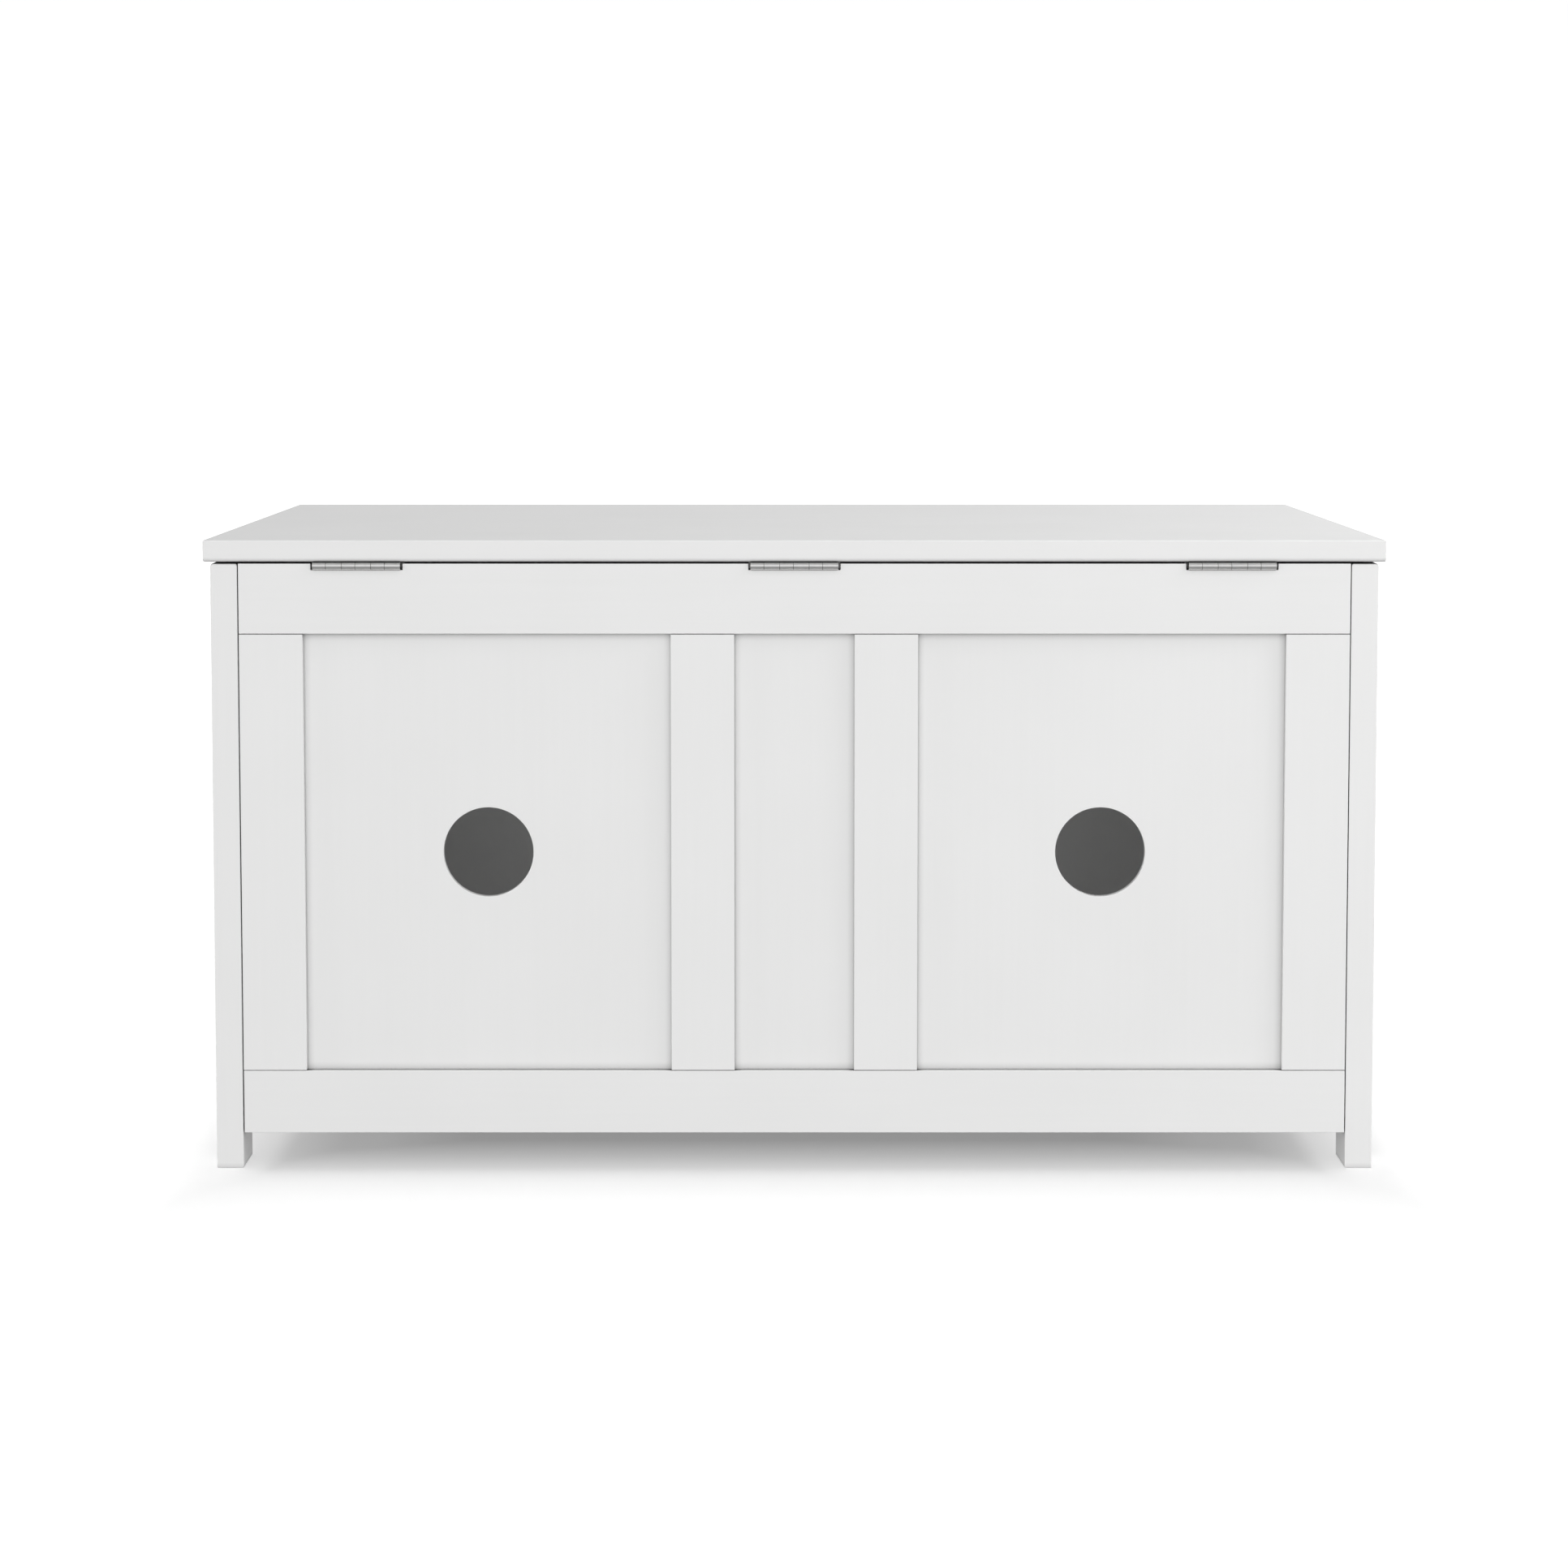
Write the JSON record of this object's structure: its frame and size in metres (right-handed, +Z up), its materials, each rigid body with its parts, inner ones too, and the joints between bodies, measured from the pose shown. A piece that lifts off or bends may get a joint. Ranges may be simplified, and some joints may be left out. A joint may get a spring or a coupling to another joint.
{
  "type": "wooden toy box",
  "caption": "Lidded wooden toy box on short corner legs, with framed panels, two round vent holes in its back, a lid on butt hinges and slotted friction stays.",
  "frame": {"origin": "on the floor, under the middle of the lid's outline", "axes": "+X to the right for someone facing the front, +Y from the front to the hinged back, +Z up"},
  "size_m": [0.9144, 0.4333, 0.493],
  "materials": {
    "white_paint": "satin white paint over solid wood and board",
    "hinge_steel": "satin steel",
    "zinc_steel": "bright zinc plating",
    "rubber": "matt grey rubber"
  },
  "bodies": {
    "box": {"back_bottom_rail": "white_paint", "back_floor_cleat": "white_paint", "back_muntin_left": "white_paint", "back_muntin_right": "white_paint", "back_panel_centre": "white_paint", "back_panel_left": "white_paint", "back_panel_right": "white_paint", "back_stile_left": "white_paint", "back_stile_right": "white_paint", "back_top_rail": "white_paint", "floor_panel": "white_paint", "front_bottom_rail": "white_paint", "front_floor_cleat": "white_paint", "front_muntin_left": "white_paint", "front_muntin_right": "white_paint", "front_panel_centre": "white_paint", "front_panel_left": "white_paint", "front_panel_right": "white_paint", "front_stile_left": "white_paint", "front_stile_right": "white_paint", "front_top_rail": "white_paint", "hinge_centre_box_leaf": "hinge_steel", "hinge_centre_pin": "hinge_steel", "hinge_left_box_leaf": "hinge_steel", "hinge_left_pin": "hinge_steel", "hinge_right_box_leaf": "hinge_steel", "hinge_right_pin": "hinge_steel", "left_floor_cleat": "white_paint", "left_side_bottom_rail": "white_paint", "left_side_panel": "white_paint", "left_side_top_rail": "white_paint", "leg_back_left": "white_paint", "leg_back_right": "white_paint", "leg_front_left": "white_paint", "leg_front_right": "white_paint", "lid_bumper_left": "rubber", "lid_bumper_right": "rubber", "right_floor_cleat": "white_paint", "right_side_bottom_rail": "white_paint", "right_side_panel": "white_paint", "right_side_top_rail": "white_paint", "stay_plate_left": "zinc_steel", "stay_plate_right": "zinc_steel", "stay_stud_left": "zinc_steel", "stay_stud_right": "zinc_steel"},
    "lid": {"hinge_centre_lid_leaf": "hinge_steel", "hinge_left_lid_leaf": "hinge_steel", "hinge_right_lid_leaf": "hinge_steel", "lid": "white_paint", "stay_bracket_left": "zinc_steel", "stay_bracket_right": "zinc_steel", "stay_rivet_left": "zinc_steel", "stay_rivet_right": "zinc_steel"},
    "stay_arm_left": {"stay_arm_left": "zinc_steel"},
    "stay_arm_right": {"stay_arm_right": "zinc_steel"}
  },
  "joints": [
    {"name": "lid_hinge", "type": "hinge", "parent": "box", "child": "lid", "pos_m": [0, 0.2144, 0.4728], "axis": [-1, 0, 0], "range_deg": [0, 90]},
    {"name": "stay_pivot_left", "type": "hinge", "parent": "lid", "child": "stay_arm_left", "pos_m": [-0.43175, 0.05506, 0.4583], "axis": [1, 0, 0], "range_deg": [0, 45]},
    {"name": "stay_pivot_right", "type": "hinge", "parent": "lid", "child": "stay_arm_right", "pos_m": [0.43175, 0.05506, 0.4583], "axis": [1, 0, 0], "range_deg": [0, 45]}
  ],
  "couplings": [
    {"joint": "stay_pivot_left", "follows": "lid_hinge", "ratio": 0.5},
    {"joint": "stay_pivot_right", "follows": "lid_hinge", "ratio": 0.5}
  ]
}
